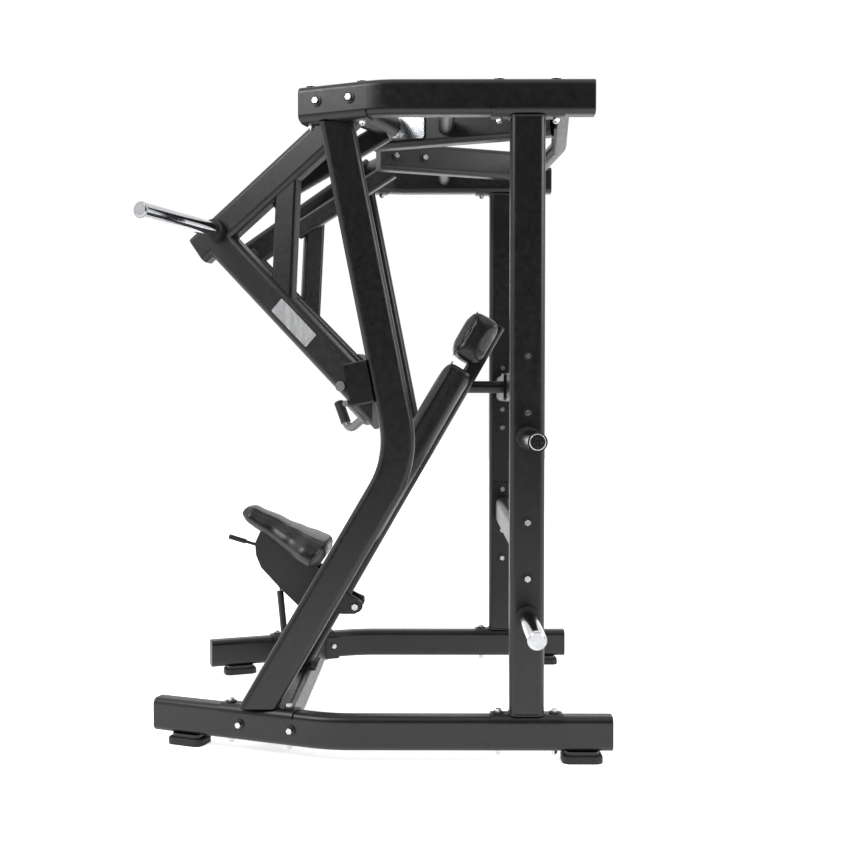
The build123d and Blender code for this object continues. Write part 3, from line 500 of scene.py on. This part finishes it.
@dataclass
class SaddleSeat:
    """The seat: a narrow rounded nose that widens to a raised rear edge."""

    length: float = 0.315
    tilt: float = radians(34.4)
    base_gap: float = 0.001
    block_width: float = 0.30
    block_tall: float = 0.10
    block_edge: float = 0.034
    side_fall: float = 0.24
    side_power: float = 2.4
    dish: float = 0.10
    bulge: float = 0.06
    base_share: float = 0.3
    seam_across: float = 0.66
    seam_start: float = 0.03
    seam_run: float = 0.93
    seam_steps: int = 40
    seam_above: float = 0.05
    seam_reach: float = 0.12
    seam_proud: float = 0.0002
    seam_radius: float = 0.0014
    half_width: tuple[tuple[float, float], ...] = (
        (0.0, 0.050), (0.03, 0.070), (0.11, 0.080), (0.18, 0.108), (0.25, 0.147),
        (0.285, 0.150), (0.315, 0.128))
    height: tuple[tuple[float, float], ...] = (
        (0.0, 0.042), (0.03, 0.050), (0.13, 0.070), (0.20, 0.082), (0.25, 0.092),
        (0.295, 0.101), (0.315, 0.096))

    def place(self) -> Matrix:
        """Return where the seat's axes lie: X across, Y to the rear along the base, Z up."""
        low = Vector(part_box("seat_pad")[0])
        rear = Vector((0, cos(self.tilt), -sin(self.tilt)))
        normal = Vector((0, sin(self.tilt), cos(self.tilt)))
        turn = Matrix((Vector((1, 0, 0)), rear, normal)).transposed().to_4x4()
        front = Vector((0, low.y, low.z + self.length * sin(self.tilt)))
        return Matrix.Translation(front) @ turn

    def warp(self, across: float, along: float, up: float) -> Vector:
        """Turn box coordinates into the saddle's shape.

        Args:
            across: From -1 to 1 over the width.
            along: From 0 at the nose to 1 at the rear.
            up: From 0 at the base to 1 at the top.

        Returns:
            The point in the seat's own axes.
        """
        run = along * self.length
        width = blend_table(run, self.half_width)
        top = blend_table(run, self.height)
        fall = self.side_fall * abs(across) ** self.side_power
        sag = 1 - fall - self.dish * sin(pi * along) * (1 - across ** 2)
        fullness = 1 + self.bulge * sin(pi * min(1.0, up * 1.2))
        lift = top * up * (sag if up > self.base_share else 1.0)
        return Vector((across * width * fullness, run, lift))

    def dress(self, paint: Paint) -> None:
        """Build the seat cover and its side seams and give them their finish and body.

        Args:
            paint: The finishes.
        """
        size = Vector((self.block_width, self.length, self.block_tall))
        shape = rounded_block(size, self.block_edge)
        for vertex in shape.verts:
            vertex.co = self.warp(vertex.co.x / (self.block_width / 2),
                                  vertex.co.y / self.length + 0.5,
                                  vertex.co.z / self.block_tall + 0.5)
        place = self.place() @ Matrix.Translation((0, 0, self.base_gap))
        cover = new_piece("seat_pad_cover", shape, place)
        puff(cover, 3.0, 0.004)
        soften(cover)
        paint.apply(cover, Finish.LEATHERETTE, "seat")
        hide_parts("seat_pad")
        skin = cover.evaluated_get(bpy.context.evaluated_depsgraph_get())
        down = (place.to_3x3() @ Vector((0, 0, -1))).normalized()
        for side, name in ((1, "left"), (-1, "right")):
            points = []
            for step in range(self.seam_steps + 1):
                along = self.seam_start + self.seam_run * step / self.seam_steps
                flank = self.warp(side * self.seam_across, along, 1.0)
                above = place @ (flank + Vector((0, 0, self.seam_above)))
                hit, spot, normal, _ = skin.ray_cast(above, down, distance=self.seam_reach)
                if hit:
                    points.append(spot + normal * self.seam_proud)
            seam = tube_along("seat_seam_" + name, points, self.seam_radius, False)
            paint.apply(seam, Finish.LEATHERETTE, "seat")
        LOG.info("%s: %d faces", cover.name, len(cover.data.polygons))


@dataclass
class Welds:
    """Small fillet welds where the tubes stand on their flanges, under the same coat."""

    bead: float = 0.0032
    tall: float = 0.097
    thick: float = 0.060
    corner: float = 0.018
    corner_steps: int = 6
    pass_gap: float = 0.003
    ripple: float = 0.006
    ripple_rate: float = 2.1
    flange: float = 0.022

    def ring(self, name: str, spot: Vector, thick: float, tall: float) -> bpy.types.Object:
        """Make one level weld bead round a tube's end.

        Args:
            name: The bead's name.
            spot: The tube's centre on the flange.
            thick: The tube's size along X.
            tall: The tube's size along Y.

        Returns:
            The bead, with the ripple of its passes.
        """
        loop = rounded_loop(thick, tall, self.corner, self.corner_steps)
        dense = []
        for here, there in zip(loop, loop[1:] + loop[:1]):
            steps = max(1, int((there - here).length / self.pass_gap))
            dense += [here.lerp(there, k / steps) for k in range(steps)]
        route = [spot + point * (1 + self.ripple * sin(i * self.ripple_rate))
                 for i, point in enumerate(dense)]
        return tube_along(name, route, self.bead, True)

    def dress(self, paint: Paint) -> None:
        """Weld both ends of the rear uprights.

        Args:
            paint: The finishes.
        """
        for side in ("left", "right"):
            low, high = (Vector(corner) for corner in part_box("rear_upright_" + side))
            middle = (low + high) / 2
            for end, height in (("low", low.z + self.flange), ("high", high.z - self.flange)):
                spot = Vector((middle.x, middle.y, height))
                bead = self.ring(f"upright_weld_{end}_{side}", spot, self.thick, self.tall)
                paint.apply(bead, Finish.FRAME, "frame")


@dataclass
class Studio:
    """A white studio: a pale floor, an even white surround and a dark side behind the camera."""

    distance: float = 3.0
    lens: float = 45.6
    sensor: float = 36.0
    surround_glow: float = 1.02
    floor_glow: float = 0.7
    pitch: float = radians(1.58)
    yaw: float = radians(0.26)
    height: float = 1.0095
    along: float = 0.1685

    def camera(self) -> None:
        """Place the camera beside the machine, level with its middle."""
        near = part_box("base_rail_left")[1][0]
        data = bpy.data.cameras.new("camera")
        data.lens = self.lens
        data.sensor_width = self.sensor
        data.clip_end = 100.0
        camera = bpy.data.objects.new("camera", data)
        bpy.context.scene.collection.objects.link(camera)
        look = Vector((-1.0, -tan(self.yaw), -tan(self.pitch))).normalized()
        camera.matrix_world = (Matrix.Translation((near + self.distance, self.along, self.height))
                               @ look.to_track_quat("-Z", "Y").to_matrix().to_4x4())
        bpy.context.scene.camera = camera

    def card(self, name: str, size: tuple[float, float], place: Matrix, colour: str,
             glow: float) -> bpy.types.Object:
        """Make one flat card of the studio.

        Args:
            name: The card's name.
            size: Its width and length.
            place: Where it stands.
            colour: Its sRGB hex colour.
            glow: How strongly it shines.

        Returns:
            The card.
        """
        shape = bmesh.new()
        bmesh.ops.create_grid(shape, x_segments=1, y_segments=1, size=0.5)
        shape.transform(Matrix.Diagonal((size[0], size[1], 1.0, 1.0)))
        card = new_piece(name, shape, place)
        material = bpy.data.materials.new(name)
        material.use_nodes = True
        shader = material.node_tree.nodes["Principled BSDF"]
        shader.inputs["Base Color"].default_value = linear(colour)
        shader.inputs["Roughness"].default_value = 0.9
        shader.inputs["Emission Color"].default_value = linear("#FFFFFF")
        shader.inputs["Emission Strength"].default_value = glow
        card.data.materials.append(material)
        return card

    def light(self, name: str, spot: Vector, aim: Vector, size: float, power: float) -> None:
        """Hang one soft area light.

        Args:
            name: The light's name.
            spot: Where it hangs.
            aim: What it points at.
            size: Its side.
            power: Its power in watts.
        """
        data = bpy.data.lights.new(name, "AREA")
        data.shape = "SQUARE"
        data.size = size
        data.energy = power
        lamp = bpy.data.objects.new(name, data)
        lamp.matrix_world = (Matrix.Translation(spot)
                             @ (aim - spot).to_track_quat("-Z", "Y").to_matrix().to_4x4())
        bpy.context.scene.collection.objects.link(lamp)

    def build(self) -> None:
        """Build the world, the cards, the lights and the camera."""
        world = bpy.data.worlds.new("white surround")
        world.use_nodes = True
        surround = world.node_tree.nodes["Background"]
        surround.inputs["Color"].default_value = linear("#FFFFFF")
        surround.inputs["Strength"].default_value = self.surround_glow
        bpy.context.scene.world = world
        bpy.context.scene.view_settings.view_transform = "Standard"
        self.card("floor", (30.0, 30.0), Matrix.Identity(4), "#F4F4F4", self.floor_glow)
        dark = self.card("camera_side", (7.0, 12.0),
                         Matrix.Translation((5.4, 0.0, 2.2)) @ Matrix.Rotation(pi / 2, 4, "Y"),
                         "#1A1A1A", 0.0)
        dark.visible_camera = False
        self.light("key", Vector((2.2, -2.4, 3.4)), Vector((0, 0, 1.0)), 1.6, 70.0)
        self.light("fill", Vector((1.6, 3.0, 2.4)), Vector((0, 0, 1.0)), 1.6, 45.0)
        self.camera()


def main() -> None:
    """Build every piece in order and report it."""
    logging.basicConfig(level=logging.INFO, format="%(name)s: %(message)s")
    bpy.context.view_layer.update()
    paint = Paint()
    Studio().build()
    paint.dress_frame()
    LeanPad("back_pad", width=0.28, length=0.65, thick=0.088).dress(paint)
    LeanPad("head_pad", width=0.28, length=0.16, thick=0.098).dress(paint)
    SaddleSeat().dress(paint)
    Welds().dress(paint)


if __name__ == "__main__":
    main()
